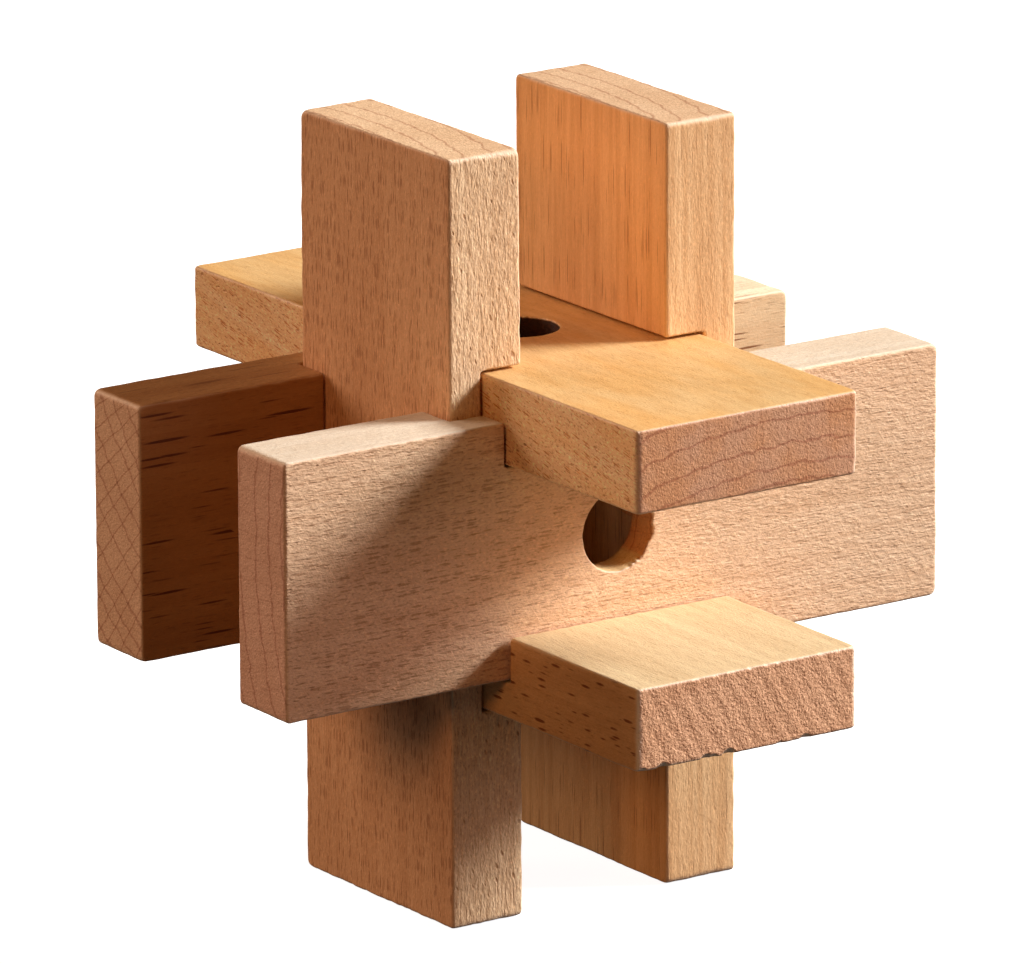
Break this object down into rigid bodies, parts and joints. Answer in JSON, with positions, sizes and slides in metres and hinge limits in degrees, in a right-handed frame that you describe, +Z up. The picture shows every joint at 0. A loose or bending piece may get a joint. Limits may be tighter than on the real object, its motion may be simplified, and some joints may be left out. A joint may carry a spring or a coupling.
{
  "type": "burr puzzle",
  "caption": "Wooden burr puzzle of interlocking flat boards in crossing pairs, each with a round centre hole, locked by a plain sliding key board.",
  "frame": {"origin": "on the floor under the centre of the puzzle, between the lower ends of the two upright boards", "axes": "+Z up along the left and right boards, -Y to the front along the key board, +X to the right along the front and back boards"},
  "size_m": [0.088, 0.088, 0.088],
  "materials": {
    "beech_key": "planed beech, yellow-orange, bare",
    "beech_bottom": "planed beech with rough sawn ends, bare",
    "beech_left": "flat-sawn beech with dark flecks, bare",
    "beech_right": "flat-sawn beech, orange, bare",
    "beech_front": "pale rough-sanded beech, bare",
    "beech_back": "flat-sawn beech with long dark flecks, bare"
  },
  "bodies": {
    "frame": {"bottom_board": "beech_bottom", "left_board": "beech_left", "right_board": "beech_right", "front_board": "beech_front", "back_board": "beech_back"},
    "key": {"key_board": "beech_key"}
  },
  "joints": [
    {"name": "key_slide", "type": "slide", "parent": "frame", "child": "key", "axis": [0, -1, 0], "range_m": [-0.064, 0.064]}
  ]
}
